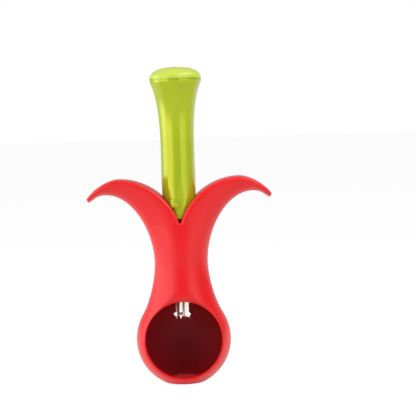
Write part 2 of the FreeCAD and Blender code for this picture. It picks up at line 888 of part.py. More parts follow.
def main():
    doc = FreeCAD.newDocument("cherry_pitter")
    z = read_sizes(make_sheet(doc))
    front, rear = shells(z)
    pieces = [
        feature(doc, "front_shell", front),
        feature(doc, "rear_shell", rear),
        feature(doc, "plunger_stem", plunger_stem(z)),
        feature(doc, "thumb_cap", thumb_cap(z)),
        feature(doc, "return_spring", return_spring(z)),
        guide_bush(doc),
        wiper_ring(doc),
        spring_washer(doc),
        rod_holder(doc),
        rod_pin(doc, z),
        pitting_rod(doc),
    ]
    doc.recompute()
    check(doc, pieces)
    os.makedirs("parts", exist_ok=True)
    for piece in pieces:
        piece.Shape.exportStep(f"parts/{piece.Label}.step")
        shape = piece.Shape
        print(f"{piece.Label}: {len(shape.Solids)} solid, {shape.Volume:.1f} mm3")


main()
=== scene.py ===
import json
import math

import bmesh
import bpy
import numpy as np
from bpy.props import FloatProperty, FloatVectorProperty, IntProperty, PointerProperty
from mathutils import Euler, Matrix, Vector


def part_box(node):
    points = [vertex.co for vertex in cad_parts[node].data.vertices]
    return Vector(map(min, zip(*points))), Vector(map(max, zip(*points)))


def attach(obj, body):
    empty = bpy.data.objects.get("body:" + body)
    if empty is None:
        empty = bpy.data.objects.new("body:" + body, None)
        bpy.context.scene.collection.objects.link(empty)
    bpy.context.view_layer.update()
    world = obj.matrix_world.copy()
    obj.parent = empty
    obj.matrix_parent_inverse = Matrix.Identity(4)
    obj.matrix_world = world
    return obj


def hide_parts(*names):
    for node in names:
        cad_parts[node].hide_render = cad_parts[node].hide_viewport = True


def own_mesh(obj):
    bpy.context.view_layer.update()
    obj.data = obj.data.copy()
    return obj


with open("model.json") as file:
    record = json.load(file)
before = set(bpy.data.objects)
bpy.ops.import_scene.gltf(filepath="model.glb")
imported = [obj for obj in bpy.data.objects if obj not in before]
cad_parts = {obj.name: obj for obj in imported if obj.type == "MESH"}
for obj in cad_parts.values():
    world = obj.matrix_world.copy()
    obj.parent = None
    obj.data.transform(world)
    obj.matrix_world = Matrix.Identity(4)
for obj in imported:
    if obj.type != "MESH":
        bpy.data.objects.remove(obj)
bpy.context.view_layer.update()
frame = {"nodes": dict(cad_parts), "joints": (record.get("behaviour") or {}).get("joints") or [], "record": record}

bl_info = {
    "name": "Cherry pitter",
    "version": (1, 0, 0),
    "blender": (4, 5, 0),
    "location": "View3D > Sidebar > Cherry pitter",
    "description": "Builds the looks of a cherry pitter round its packed frame",
    "category": "Object",
}

MM = 0.001
BODY, PLUNGER = "body", "plunger"
OUTLET = frame["record"]["mounts"][0]["dims"]["r_mm"] * MM
STEM_LOW, STEM_HIGH = (corner.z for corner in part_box("plunger_stem"))
CAP_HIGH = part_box("thumb_cap")[1].z
ROD_LOW, ROD_HIGH = (corner.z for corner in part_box("pitting_rod"))
TRAVEL = frame["joints"][0]["range_m"][1]
SHARP_FROM = math.radians(40)
STEM_POINTS = 8 * 24
ROD_POINTS = 4 * 40
WIRE_POINTS = 10
HANDLE_SOFT = 26


def length(name, description, default, **facts):
    return FloatProperty(
        name=name, description=description, default=default, unit="LENGTH", precision=5, **facts
    )


def angle(name, description, degrees):
    return FloatProperty(
        name=name, description=description, default=math.radians(degrees), subtype="ANGLE"
    )


def share(name, description, default):
    return FloatProperty(
        name=name, description=description, default=default, min=0.0, max=1.0, subtype="FACTOR"
    )


def colour(name, description, default):
    return FloatVectorProperty(
        name=name, description=description, default=default, size=3, min=0, max=1, subtype="COLOR"
    )


class PitterCup(bpy.types.PropertyGroup):
    """The ball with its window, room and outlet."""

    radius: length("Ball radius", "Outside of the ball", 0.0213)
    room: length("Room radius", "Inside of the ball", 0.0190)
    ceiling: length("Ceiling", "Height of the room's flat ceiling", 0.0376)
    window: length("Window radius", "Round opening in front", 0.0170)
    window_level: length("Window height", "Height of the window's centre", 0.0203)
    face: length("Face depth", "How far the window's flat face stands forward", 0.0139)
    lip: length("Lip radius", "Rounding of the window's edge", 0.0032)
    lip_blend: length("Lip blend", "Rounding where the lip leaves the outside", 0.0009)
    outlet: length("Outlet radius", "Hole for the pit", OUTLET)
    edge: length("Edge radius", "Rounding of the plain edges", 0.0005)
    pitch: length("Mesh pitch", "Grid that the shells are meshed on", 0.00045)


class PitterWings(bpy.types.PropertyGroup):
    """The flare, the neck and the two finger wings, seen from the front."""

    flare_level: length("Flare height", "Where the flare leaves the ball", 0.0310)
    flare_handle: length("Flare handle", "How long it follows the ball", 0.0058)
    neck: length("Neck radius", "Half of the neck's width at its waist", 0.0119)
    neck_level: length("Neck height", "Height of the waist", 0.0542)
    neck_handle: length("Neck handle", "How long the flare runs up straight", 0.0078)
    saddle_level: length("Saddle height", "Bottom of the V between the wings", 0.0717)
    saddle_angle: angle("Saddle angle", "Rise of the V's sides", 72)
    saddle_handle: length("Saddle handle", "How long the V's sides run straight", 0.0135)
    saddle_depth: length("Saddle depth", "Half depth at the saddle", 0.0106)
    arch_reach: length("Arch reach", "Where the wing is highest", 0.0270)
    arch_level: length("Arch height", "Height of the wing's top", 0.0918)
    arch_handle_in: length("Arch handle in", "Flatness of the arch inward", 0.0110)
    arch_handle_out: length("Arch handle out", "Flatness of the arch outward", 0.0046)
    arch_depth: length("Arch depth", "Half depth at the arch", 0.0076)
    side_handle: length("Side handle", "How long the neck's side runs up", 0.0148)
    crest_reach: length("Crest reach", "Where the finger rest is highest", 0.0328)
    crest_level: length("Crest height", "Height of the finger rest", 0.0851)
    crest_handle_in: length("Crest handle in", "Flatness of the rest inward", 0.0114)
    crest_handle_out: length("Crest handle out", "Flatness of the rest outward", 0.0039)
    tip_reach: length("Tip reach", "Where the wing ends", 0.0413)
    tip_level: length("Tip height", "Height of the wing's end", 0.0837)
    tip_angle: angle("Tip angle", "How steeply the wing curls down", 53)
    tip_lean: angle("Tip lean", "Lean of the wing's underside at its end", 150)
    tip_handle: length("Tip handle", "How long the tip runs straight", 0.0056)
    tip_thickness: length("Tip thickness", "Thickness of the tip", 0.0020)
    tip_depth: length("Tip depth", "Half depth at the tip", 0.0026)
    rim: length("Rim radius", "Rounding along the wing's top edges", 0.0018)
    tip_round: length("Tip radius", "Rounding of the wing's end", 0.0026)


class PitterBore(bpy.types.PropertyGroup):
    """The way for the plunger inside the neck."""

    radius: length("Bore radius", "Bore for the plunger", 0.00772)
    floor: length("Bore floor", "Height of the bore's floor", 0.0412)
    bush: length("Bush radius", "Hole for the guide bush", 0.0056)
    lug_width: length("Lug way width", "Groove that the lug slides in", 0.0045)
    lug_reach: length("Lug way reach", "How far the groove reaches out", 0.00877)
    slot_width: length("Slot width", "Slots that the stop ears slide in", 0.0046)
    slot_reach: length("Slot reach", "How far the slots reach out", 0.00997)
    slot_low: length("Slot bottom", "Lower end of the slots", STEM_LOW - TRAVEL - 0.6 * MM)
    slot_high: length("Slot top", "Closed top of the slots", STEM_LOW + 3.3 * MM)
    seam: length("Seam", "Half the gap where the shells meet", 0.00001)
    seam_edge: length("Seam edge", "Rounding of the shells' meeting edges", 0.00025)


class PitterStem(bpy.types.PropertyGroup):
    """The faceted stem, its lug and its cap."""

    facets: IntProperty(name="Facets", description="Sides of the stem", default=8)
    turn: angle("Turn", "Angle of the lug's facet from the front", -15)
    shaft: length("Shaft radius", "Round lower end", 0.00740)
    hollow: length("Hollow radius", "Room for the spring", 0.0053)
    ridge: length("Ridge radius", "Ridges at the waist", 0.0076)
    bulge: length("Facet bulge", "How far a facet stands out of its chord", 0.00022)
    soften: length("Ridge softness", "Rounding of the ridges", 0.00028)
    facet_start: length("Facet start", "Where the facets are complete", 0.0905)
    wedge: length("Wedge height", "How far below that the ridges fade out", 0.0090)
    waist: length("Waist height", "Height of the waist", 0.1080)
    waist_handle: length("Waist handle", "How long the ridges run up straight", 0.0090)
    knob: length("Knob radius", "Ridges at the knob", 0.01108)
    knob_level: length("Knob height", "Where the dome begins", STEM_HIGH - 3.0 * MM)
    knob_angle: angle("Knob angle", "How steeply the ridges reach the knob", 65)
    knob_handle: length("Knob handle", "How long they keep that angle", 0.0059)
    dome_handle: length("Dome handle", "How long the dome's shoulder rises", 0.0032)
    dome_flat: length("Dome flatness", "How far the dome's top is flat", 0.0121)
    facet_end: length("Facet end", "Where the facets give way to the dome", STEM_HIGH - 0.3 * MM)
    facet_fade: length("Facet fade", "Height over which they do", 0.0019)
    lug_level: length("Lug height", "Height of the lug's middle", 0.0809)
    lug_width: length("Lug width", "Across the lug", 0.0039)
    lug_tall: length("Lug length", "Up the lug", 0.0037)
    lug_proud: length("Lug stand", "How far the lug stands proud", 0.0012)
    lug_edge: length("Lug edge", "Bevel of the lug", 0.00045)


class PitterRod(bpy.types.PropertyGroup):
    """The ribbed rod and its crown."""

    radius: length("Rod radius", "Across the ribs", 0.0032)
    flute: length("Flute radius", "Round grooves between the ribs", 0.00175)
    flute_reach: length("Flute reach", "How far out the grooves' centres lie", 0.00375)
    rib_edge: length("Rib edge", "Rounding of the ribs", 0.0004)
    crown: length("Crown radius", "Across the teeth", 0.00425)
    turn: angle("Rod turn", "Angle of a rib from the front", -20)
    shoulder: length("Shoulder height", "Widest part of the teeth above their tips", 0.0024)
    crown_height: length("Crown height", "Where the teeth leave the ribs", 0.0034)
    tooth_tip: length("Tooth tip radius", "Where the points lie", 0.0031)
    tooth_cut: length("Tooth cut", "How high the edge rises between the teeth", 0.0016)


class PitterSpring(bpy.types.PropertyGroup):
    """The coiled return spring inside the stem."""

    coil: length("Coil radius", "Axis to the middle of the wire", 0.0042)
    wire: length("Wire radius", "Half the wire's thickness", 0.0004)
    seat_gap: length("Seat gap", "Gap between the wires of the close turns", 0.00045)
    turns: FloatProperty(name="Turns", description="Open turns", default=11.0)
    seat_turns: FloatProperty(name="Close turns", description="At each end", default=1.25)
    kept: FloatProperty(name="Kept length", description="Share at full travel", default=0.345)


class PitterFinish(bpy.types.PropertyGroup):
    """Colours of the mouldings and the steel."""

    red: colour("Red", "Body", (0.920, 0.005, 0.009))
    red_deep: colour("Deep red", "Body's darker flow marks", (0.850, 0.004, 0.008))
    # painted shade: a darker red that stands in for the shade inside the cherry room; the room's extra roughness
    # is the wall's real unpolished finish
    red_inside: colour("Inner red", "Unpolished wall of the cherry room", (0.360, 0.004, 0.009))
    green: colour("Green", "Plunger", (0.350, 0.495, 0.013))
    green_deep: colour("Deep green", "Plunger's darker flow marks", (0.318, 0.457, 0.011))
    green_sheen: colour("Green sheen", "Tint of the plunger's reflections", (1.0, 0.85, 0.12))
    steel: colour("Steel", "Rod", (0.96, 0.93, 0.86))
    wire: colour("Wire", "Spring, washer and pin", (0.62, 0.62, 0.62))
    bush: colour("Bush", "Guide bush", (0.80, 0.79, 0.75))
    rubber: colour("Rubber", "Wiper ring", (0.20, 0.20, 0.21))
    nylon: colour("Nylon", "Rod holder", (0.045, 0.045, 0.048))
    green_index: FloatProperty(name="Green index", description="Plunger's refraction", default=1.8)
    red_rough: share("Red roughness", "Satin of the body", 0.36)
    green_rough: share("Green roughness", "Gloss of the plunger", 0.15)
    steel_rough: share("Steel roughness", "Polish of the rod", 0.16)
    wire_rough: share("Wire roughness", "Drawn surface of the spring", 0.24)


class PitterStage(bpy.types.PropertyGroup):
    """Camera, lights and floor."""

    camera_back: length("Camera distance", "How far in front the camera stands", 0.800)
    camera_level: length("Camera height", "Height of the camera", 0.1385)
    camera_pitch: angle("Camera pitch", "How far the camera looks down", 5.0)
    camera_roll: angle("Camera roll", "Lean of the object in the picture", 1.95)
    focal: FloatProperty(name="Lens", description="Focal length in mm", default=155.4)
    shift_x: FloatProperty(name="Shift X", description="Sideways shift", default=0.0668)
    shift_y: FloatProperty(name="Shift Y", description="Upward shift", default=0.0526)
    left_power: FloatProperty(name="Left light", description="Watts", default=4.3)
    right_power: FloatProperty(name="Right light", description="Watts", default=0.9)
    top_power: FloatProperty(name="Top light", description="Watts", default=0.5)
    side_power: FloatProperty(name="Side light", description="Watts", default=1.5)
    room_front: share("Room in front", "Strength of the surroundings in front", 0.16)
    floor_grey: share("Floor", "How pale the floor is to everything but the camera", 0.72)
    room_above: share("Room above", "Strength of the surroundings overhead", 0.28)


# shader maths


class Signal:
    """A socket's value in a material, on which Python's operators add Math nodes."""

    def __init__(self, maker, socket):
        self.maker, self.socket = maker, socket

    def _maths(self, operation, *values):
        made = self.maker.node("ShaderNodeMath", {"operation": operation}, *values)
        return made["Value"]

    def __add__(self, other):
        return self._maths("ADD", self, other)

    def __radd__(self, other):
        return self._maths("ADD", other, self)

    def __sub__(self, other):
        return self._maths("SUBTRACT", self, other)

    def __rsub__(self, other):
        return self._maths("SUBTRACT", other, self)

    def __mul__(self, other):
        return self._maths("MULTIPLY", self, other)

    def __rmul__(self, other):
        return self._maths("MULTIPLY", other, self)

    def __truediv__(self, other):
        return self._maths("DIVIDE", self, other)

    def __rtruediv__(self, other):
        return self._maths("DIVIDE", other, self)


class Finish:
    """A node material: a Principled shader and whatever drives it."""

    def __init__(self, name, **constants):
        self.material = bpy.data.materials.new(name)
        self.material.use_nodes = True
        self.tree = self.material.node_tree
        self.shader = self.tree.nodes["Principled BSDF"]
        for socket, value in constants.items():
            self.feed(self.shader.inputs[socket.replace("_", " ")], value)

    @classmethod
    def on(cls, tree):
        """The same tools for a tree that isn't a material's."""
        made = cls.__new__(cls)
        made.tree = tree
        return made

    def feed(self, socket, value):
        """Links a signal to the socket, or sets its constant."""
        if isinstance(value, Signal):
            self.tree.links.new(value.socket, socket)
        elif socket.type == "RGBA":
            socket.default_value = (*value, 1.0)
        else:
            socket.default_value = value

    def node(self, kind, settings=None, *values, **named):
        """A node of this kind: its settings first, then its sockets by place or by name."""
        made = self.tree.nodes.new(kind)
        for setting, value in (settings or {}).items():
            if setting == "stops":
                ramp = made.color_ramp.elements
                while len(ramp) < len(value):
                    ramp.new(1.0)
                for element, (place, shade) in zip(ramp, value):
                    element.position = place
                    element.color = (shade, shade, shade, 1.0)
            else:
                setattr(made, setting, value)
        shown = [socket for socket in made.inputs if socket.enabled]
        for socket, value in zip(shown, values):
            self.feed(socket, value)
        for name, value in named.items():
            self.feed(made.inputs[name.replace("_", " ")], value)
        return {out.name: Signal(self, out) for out in made.outputs if out.enabled}

    def larger(self, first, second):
        return self.node("ShaderNodeMath", {"operation": "MAXIMUM"}, first, second)["Value"]

    def place(self):
        """Where a point of the piece is, in the frame's metres."""
        return self.node("ShaderNodeTexCoord")["Object"]

    def stretched(self, x, y, z):
        """The place with each axis scaled, for drawn or flowing patterns."""
        maths = {"operation": "MULTIPLY"}
        return self.node("ShaderNodeVectorMath", maths, self.place(), (x, y, z))["Vector"]

    def noise(self, vector, scale, detail=3.0, roughness=0.5):
        made = self.node(
            "ShaderNodeTexNoise", None, Vector=vector, Scale=scale, Detail=detail,
            Roughness=roughness,
        )
        return made["Fac"]

    def ramp(self, value, *stops):
        return self.node("ShaderNodeValToRGB", {"stops": stops}, value)["Color"]

    def blend(self, factor, first, second):
        """Mixes two colours by a factor."""
        kind = {"data_type": "RGBA"}
        return self.node("ShaderNodeMix", kind, factor, first, second)["Result"]

    def bump(self, height, distance, strength=1.0):
        """Feeds the shader's normal from a height in the range 0 to 1."""
        made = self.node(
            "ShaderNodeBump", None, Height=height, Distance=distance, Strength=strength
        )
        self.feed(self.shader.inputs["Normal"], made["Normal"])

    def drive(self, socket, value):
        self.feed(self.shader.inputs[socket], value)


# outlines


def bezier(poles, shares):
    """Points on the cubic curve with these four poles."""
    poles = np.array([tuple(p) for p in poles])
    s = np.asarray(shares)[:, None]
    r = 1 - s
    return (
        poles[0] * r**3 + 3 * poles[1] * r**2 * s + 3 * poles[2] * r * s**2 + poles[3] * s**3
    )


def leaning(start, turn, distance):
    """The point this far from start, at an angle to the horizontal."""
    return start[0] + math.cos(turn) * distance, start[1] + math.sin(turn) * distance


def softened(values, reach):
    """The values with their changes of slope spread over this many neighbours."""
    if values.ndim > 1:
        return np.stack([softened(column, reach) for column in values.T], axis=1)
    window = np.hanning(2 * reach + 1)
    padded = np.concatenate([values[:1].repeat(reach), values, values[-1:].repeat(reach)])
    soft = np.convolve(padded, window / window.sum(), mode="valid")
    count = np.arange(len(values))
    fade = np.minimum(np.minimum(count, count[::-1]) / reach, 1)
    return values + (soft - values) * fade


class Outline:
    """The body seen from the front, as chords from its middle or top edge to its side."""

    STEPS = 500
    FOOT_RING = 0.7 * MM
    SOFT_FLARE, SOFT_DEPTH, SOFT_LINE = 80, 70, 28
    LAG_END, LAG = 0.4, 0.85
    FALL_END, FALL = 0.97, 2.4

    def __init__(self, cup, wings):
        self.centre = math.sqrt(cup.radius**2 - (OUTLET + self.FOOT_RING) ** 2)
        shares = np.linspace(0, 1, self.STEPS)
        runs = [self.ball_and_flare(cup, wings, shares), *self.neck_and_wing(wings, shares)]
        joined = [np.concatenate(parts) for parts in zip(*runs)]
        self.top, self.side, self.depth, self.open = joined
        self.depth = softened(self.depth, self.SOFT_DEPTH)
        self.top = softened(self.top, self.SOFT_LINE)
        self.side = softened(self.side, self.SOFT_LINE)

    def ball_and_flare(self, cup, wings, shares):
        """The part that is round about the axis."""
        rise = wings.flare_level - self.centre
        across = math.sqrt(cup.radius**2 - rise**2)
        low, high = math.asin(-self.centre / cup.radius), math.asin(rise / cup.radius)
        turn = low + (high - low) * shares
        ball = np.stack([np.cos(turn), np.sin(turn)], axis=1) * cup.radius + (0, self.centre)
        follow = wings.flare_handle / cup.radius
        poles = [
            (across, wings.flare_level),
            (across - rise * follow, wings.flare_level + across * follow),
            (wings.neck, wings.neck_level - wings.neck_handle),
            (wings.neck, wings.neck_level),
        ]
        side = np.concatenate([ball, bezier(poles, shares)[1:]])
        side = softened(side, self.SOFT_FLARE)
        top = side * (0, 1)
        return top, side, side[:, 0].copy(), np.zeros(len(side))

    def neck_and_wing(self, w, shares):
        """The neck's root, the wing up to its arch, and the wing beyond it."""
        neck, crest = (w.neck, w.neck_level), (w.crest_reach, w.crest_level)
        neck_up = (neck[0], neck[1] + w.side_handle)
        rest_in = [neck, neck_up, (crest[0] - w.crest_handle_in, crest[1]), crest]
        tip = (w.tip_reach, w.tip_level)
        under = leaning(tip, math.radians(270) - w.tip_angle / 2, w.tip_thickness)
        curl = leaning(under, w.tip_lean, w.crest_handle_out)
        rest_out = [crest, (crest[0] + w.crest_handle_out, crest[1]), curl, under]
        saddle, arch = (0.0, w.saddle_level), (w.arch_reach, w.arch_level)
        rise = leaning(saddle, w.saddle_angle, w.saddle_handle)
        top_in = [saddle, rise, (arch[0] - w.arch_handle_in, arch[1]), arch]
        droop = leaning(tip, math.pi - w.tip_angle, w.tip_handle)
        top_out = [arch, (arch[0] + w.arch_handle_out, arch[1]), droop, tip]
        fine = np.linspace(0, 1, 20 * self.STEPS)
        split = np.interp(w.saddle_level, bezier(rest_in, fine)[:, 1], fine)
        edge = bezier(rest_in, split * shares)
        depth = w.neck + (w.saddle_depth - w.neck) * shares**2
        root = (np.stack([0 * shares, edge[:, 1]], axis=1), edge, depth, 0 * shares)
        lag = np.clip(shares / self.LAG_END, 0, 1) ** 2
        eased = shares + (shares**self.LAG - shares) * lag
        horn_side = bezier(rest_in, split + (1 - split) * eased)
        depth = w.saddle_depth + (w.arch_depth - w.saddle_depth) * shares
        horn = (bezier(top_in, shares), horn_side, depth, 0 * shares + 1)
        fall = np.sqrt(1 - (self.FALL_END * shares) ** self.FALL)
        depth = w.tip_depth + (w.arch_depth - w.tip_depth) * fall
        outer = (bezier(top_out, shares), bezier(rest_out, shares), depth, 0 * shares + 1)
        return [tuple(part[1:] for part in run) for run in (root, horn, outer)]

    def find(self, x, z):
        """For each point its place along its chord, with the chord's length and depth."""
        shape = np.shape(x)
        x, z = np.ravel(x), np.ravel(z)

        def ahead(index):
            along = self.side[index] - self.top[index]
            dx, dz = x - self.top[index, 0], z - self.top[index, 1]
            return (along[:, 0] * dz - along[:, 1] * dx) / np.hypot(*along.T)

        low = np.zeros(len(x), int)
        high = np.full(len(x), len(self.top) - 1)
        while (high - low).max() > 1:
            middle = (low + high) // 2
            beyond = ahead(middle) > 0
            low = np.where(beyond, middle, low)
            high = np.where(beyond, high, middle)
        before, after = ahead(low), ahead(high)
        mix = np.clip(before / np.maximum(before - after, 1e-12), 0, 1)[:, None]
        top = self.top[low] + (self.top[high] - self.top[low]) * mix
        side = self.side[low] + (self.side[high] - self.side[low]) * mix
        depth = self.depth[low] + (self.depth[high] - self.depth[low]) * mix[:, 0]
        along = side - top
        size = np.hypot(*along.T)
        place = ((x - top[:, 0]) * along[:, 0] + (z - top[:, 1]) * along[:, 1]) / size**2
        step = self.top[high] - self.top[low]
        lean = np.abs(along[:, 0] * step[:, 1] - along[:, 1] * step[:, 0])
        lean /= np.maximum(size * np.hypot(*step.T), 1e-12)
        past = np.where(high == len(self.top) - 1, after, -1.0)
        found = place, size, depth, self.open[low] * lean, past
        return [value.reshape(shape) for value in found]


# solid fields: negative inside, in metres


def joined_max(a, b, reach):
    """The larger of two fields, rounded where they cross."""
    overlap = np.maximum(reach - np.abs(a - b), 0) / reach
    return np.maximum(a, b) + overlap**2 * reach / 4


def joined_min(a, b, reach):
    """The smaller of two fields, rounded where they cross."""
    return -joined_max(-a, -b, reach)


def rounded_corner(a, b, radius):
    """Where both fields are negative, with a round edge between them."""
    over_a, over_b = np.maximum(a + radius, 0), np.maximum(b + radius, 0)
    return np.minimum(np.maximum(a, b) + radius, 0) + np.hypot(over_a, over_b) - radius


def slab(value, low, high):
    """Between two values."""
    return np.maximum(low - value, value - high)


class BodySolid:
    """Both shells together as one field."""

    def __init__(self, cup, wings, bore, turn):
        self.cup, self.wings, self.bore, self.turn = cup, wings, bore, turn
        self.outline = Outline(cup, wings)

    def flat(self, x, z):
        """What depends only on the place in the front view."""
        return self.outline.find(np.abs(x), z)

    def outside(self, flat, y):
        wings = self.wings
        place, size, depth, edge, past = flat
        across, deep = np.maximum(place, 0), y / depth
        round_off = np.sqrt(across**2 + deep**2) + 1e-9
        slope = np.sqrt((across / size) ** 2 + (deep / depth) ** 2) + 1e-9
        skin = (round_off - 1) * round_off / slope
        above = np.where(edge > 0, -place * size * edge, -1.0)
        whole = joined_max(skin, above, wings.rim)
        return joined_max(whole, past, wings.tip_round)

    def window(self, x, y, z):
        """The solid round the window, with its rounded lip."""
        cup = self.cup
        ring = np.hypot(x, z - cup.window_level)
        inside = np.where(y < 0, cup.window - ring, -1.0)
        return rounded_corner(inside, -cup.face - y, cup.lip)

    def hollows(self, x, y, z):
        """Everything cut out of the body, negative where it is empty."""
        cup, bore = self.cup, self.bore
        centre = self.outline.centre
        around = np.hypot(x, y)
        room = np.sqrt(x**2 + y**2 + (z - centre) ** 2) - cup.room
        room = joined_max(room, z - cup.ceiling, cup.edge * 2)
        outlet = np.maximum(around - cup.outlet, z - centre)
        hollow = joined_min(room, outlet, cup.edge)
        way = np.maximum(around - bore.radius, bore.floor - z)
        seat = np.maximum(around - bore.bush, slab(z, cup.ceiling - MM, bore.floor + MM))
        cos, sin = math.cos(self.turn), math.sin(self.turn)
        aside, ahead = x * cos + y * sin, -x * sin + y * cos
        lug = np.maximum(np.abs(aside) - bore.lug_width / 2, slab(ahead, -bore.lug_reach, 0))
        lug = np.maximum(lug, bore.slot_low - z)
        slot = np.maximum(np.abs(y) - bore.slot_width / 2, np.abs(x) - bore.slot_reach)
        slot = np.maximum(slot, slab(z, bore.slot_low, bore.slot_high))
        for cut in (way, seat, lug, slot):
            hollow = np.minimum(hollow, cut)
        return hollow

    def __call__(self, x, y, z, flat=None):
        cup = self.cup
        flat = self.flat(x, z) if flat is None else flat
        solid = joined_max(self.outside(flat, y), self.window(x, y, z), cup.lip_blend)
        solid = joined_max(solid, -z, cup.edge)
        return joined_max(solid, -self.hollows(x, y, z), cup.edge)


class HalfSolid:
    """One shell: the body on one side of the parting plane."""

    def __init__(self, body, bore, side):
        self.body, self.bore, self.side = body, bore, side

    def __call__(self, x, y, z, flat=None):
        past = self.bore.seam - y * self.side
        return joined_max(self.body(x, y, z, flat), past, self.bore.seam_edge)


# meshing


CORNERS = np.array([(i, j, k) for i in (0, 1) for j in (0, 1) for k in (0, 1)])
CELL_EDGES = [
    (a, b)
    for a in range(8)
    for b in range(a + 1, 8)
    if np.abs(CORNERS[a] - CORNERS[b]).sum() == 1
]


def net_of(values):
    """Points, in grid steps, and quads round the places where the values change sign."""
    inside = values < 0
    cells = tuple(n - 1 for n in values.shape)
    count = np.zeros(cells, np.int8)
    for i, j, k in CORNERS:
        count += inside[i : i + cells[0], j : j + cells[1], k : k + cells[2]]
    active = np.argwhere((count > 0) & (count < 8))
    number = np.full(cells, -1, np.int32)
    number[tuple(active.T)] = np.arange(len(active))
    corner = np.stack([values[tuple((active + c).T)] for c in CORNERS], axis=1)
    total, crossings = np.zeros((len(active), 3)), np.zeros(len(active))
    for a, b in CELL_EDGES:
        crossed = (corner[:, a] < 0) != (corner[:, b] < 0)
        gap = np.where(crossed, corner[:, a] - corner[:, b], 1.0)
        way = np.where(crossed, corner[:, a] / gap, 0)[:, None]
        total += crossed[:, None] * (CORNERS[a] + (CORNERS[b] - CORNERS[a]) * way)
        crossings += crossed
    points = active + total / crossings[:, None]
    return points, quads_of(inside, number)


def quads_of(inside, number):
    """One quad round each grid edge that crosses the surface, turned outward."""
    quads = []
    for axis in range(3):
        first, second = [a for a in range(3) if a != axis]
        low = [slice(1, -1)] * 3
        low[axis] = slice(0, -1)
        high = list(low)
        high[axis] = slice(1, None)
        before, after = inside[tuple(low)], inside[tuple(high)]
        for leaving in (True, False):
            found = np.argwhere((before != after) & (before == leaving))
            found += [0 if a == axis else 1 for a in range(3)]
            ring = []
            for i, j in ((-1, -1), (0, -1), (0, 0), (-1, 0)):
                cell = found.copy()
                cell[:, first] += i
                cell[:, second] += j
                ring.append(number[tuple(cell.T)])
            quad = np.stack(ring, axis=1)
            flipped = leaving == (axis == 1)
            quads.append(quad[:, ::-1] if flipped else quad)
    return np.concatenate(quads)


def gradient(field, points, step):
    """The field's slope at each point."""
    slopes = []
    for axis in range(3):
        shift = np.zeros(3)
        shift[axis] = step
        ahead, behind = (points + shift).T, (points - shift).T
        slopes.append((field(*ahead) - field(*behind)) / (2 * step))
    return np.stack(slopes, axis=1)


def settled(field, points, quads, step, rounds=3):
    """The points evened out along the surface and set exactly on it."""
    edges = np.concatenate([quads[:, [i, (i + 1) % 4]] for i in range(4)])
    degree = np.bincount(edges.ravel(), minlength=len(points))[:, None]
    for _ in range(rounds):
        near = np.zeros_like(points)
        np.add.at(near, edges[:, 0], points[edges[:, 1]])
        np.add.at(near, edges[:, 1], points[edges[:, 0]])
        slope = gradient(field, points, step)
        normal = slope / np.maximum(np.linalg.norm(slope, axis=1, keepdims=True), 1e-9)
        pull = near / degree - points
        pull -= normal * (pull * normal).sum(axis=1, keepdims=True)
        points = points + pull * 0.6
        for _ in range(2):
            slope = gradient(field, points, step)
            steep = np.maximum((slope**2).sum(axis=1), 0.05)[:, None]
            move = field(*points.T)[:, None] * slope / steep
            size = np.maximum(np.linalg.norm(move, axis=1, keepdims=True), 1e-12)
            points = points - move * np.minimum(1, 4 * step / size)
    return points


def meshed(name, field, body, box, pitch):
    """A mesh object of the solid, on a grid over its box, with the field's own normals."""
    low = np.array(box[0]) - 2.5 * pitch
    counts = np.ceil((np.array(box[1]) + 2.5 * pitch - low) / pitch).astype(int) + 1
    x, y, z = (low[a] + pitch * np.arange(counts[a]) for a in range(3))
    flat = body.flat(*np.meshgrid(x, z, indexing="ij"))
    flat = [value[:, None, :] for value in flat]
    values = field(x[:, None, None], y[None, :, None], z[None, None, :], flat)
    points, quads = net_of(np.broadcast_to(values, counts))
    step = pitch / 3
    points = settled(field, low + points * pitch, quads, step)
    mesh = bpy.data.meshes.new(name)
    mesh.from_pydata(points.tolist(), [], quads.tolist())
    mesh.validate()
    mesh.shade_smooth()
    normals = gradient(field, points, step)
    mesh.normals_split_custom_set_from_vertices(normals.tolist())
    return placed(name, mesh)


def placed(name, mesh):
    piece = bpy.data.objects.new(name, mesh)
    bpy.context.scene.collection.objects.link(piece)
    return piece


def lofted(name, rings):
    """A mesh through rings of as many points each, with a face at either end."""
    mesh = bpy.data.meshes.new(name)
    rings = np.asarray(rings)
    count, around = rings.shape[:2]
    index = np.arange(count * around).reshape(count, around)
    following = np.roll(index, -1, axis=1)
    quads = np.stack([index[:-1], following[:-1], following[1:], index[1:]], axis=-1)
    faces = quads.reshape(-1, 4).tolist()
    faces += [index[0, ::-1].tolist(), index[-1].tolist()]
    mesh.from_pydata(rings.reshape(-1, 3).tolist(), [], faces)
    mesh.validate()
    mesh.shade_smooth()
    mesh.set_sharp_from_angle(angle=SHARP_FROM)
    return placed(name, mesh)


def dressed(piece, material, body, node):
    """Gives a piece its material, slot and body, and hides the node that it stands for."""
    piece.data.materials.append(material)
    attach(piece, body)
    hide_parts(node)


# finishes


def moulded(name, colour, deep, rough, grain, shine, inside=None):
    """Moulded plastic: faint flow marks in its colour and a fine satin grain; with a room given, the room's wall
    is painted a darker red as painted shade and made rougher.
    """
    finish = Finish(name, IOR=1.5, Specular_IOR_Level=shine)
    flow = finish.noise(finish.stretched(1, 1, 0.35), 60, 2)
    mottle = finish.noise(finish.place(), 900, 3)
    fine = finish.noise(finish.place(), 5200, 2)
    shade = finish.blend(flow * 0.5 + mottle * 0.12, colour, deep)
    # painted shade: inside the room the colour blends to a darker red, which stands in for the shade in the ball's
    # hollow
    if inside:
        painted_shade, centre, near, far = inside
        maths = {"operation": "DISTANCE"}
        away = finish.node("ShaderNodeVectorMath", maths, finish.place(), centre)["Value"]
        outer = finish.ramp((away - near) / (far - near), (0, 0), (1, 1))
        shade = finish.blend(outer, painted_shade, shade)
    finish.drive("Base Color", shade)
    satin = rough - 0.03 + mottle * 0.05 + flow * 0.02
    if inside:
        satin = satin + (1 - outer) * 0.25
    finish.drive("Roughness", satin)
    finish.bump(fine * 0.7 + mottle * 0.3, grain)
    return finish


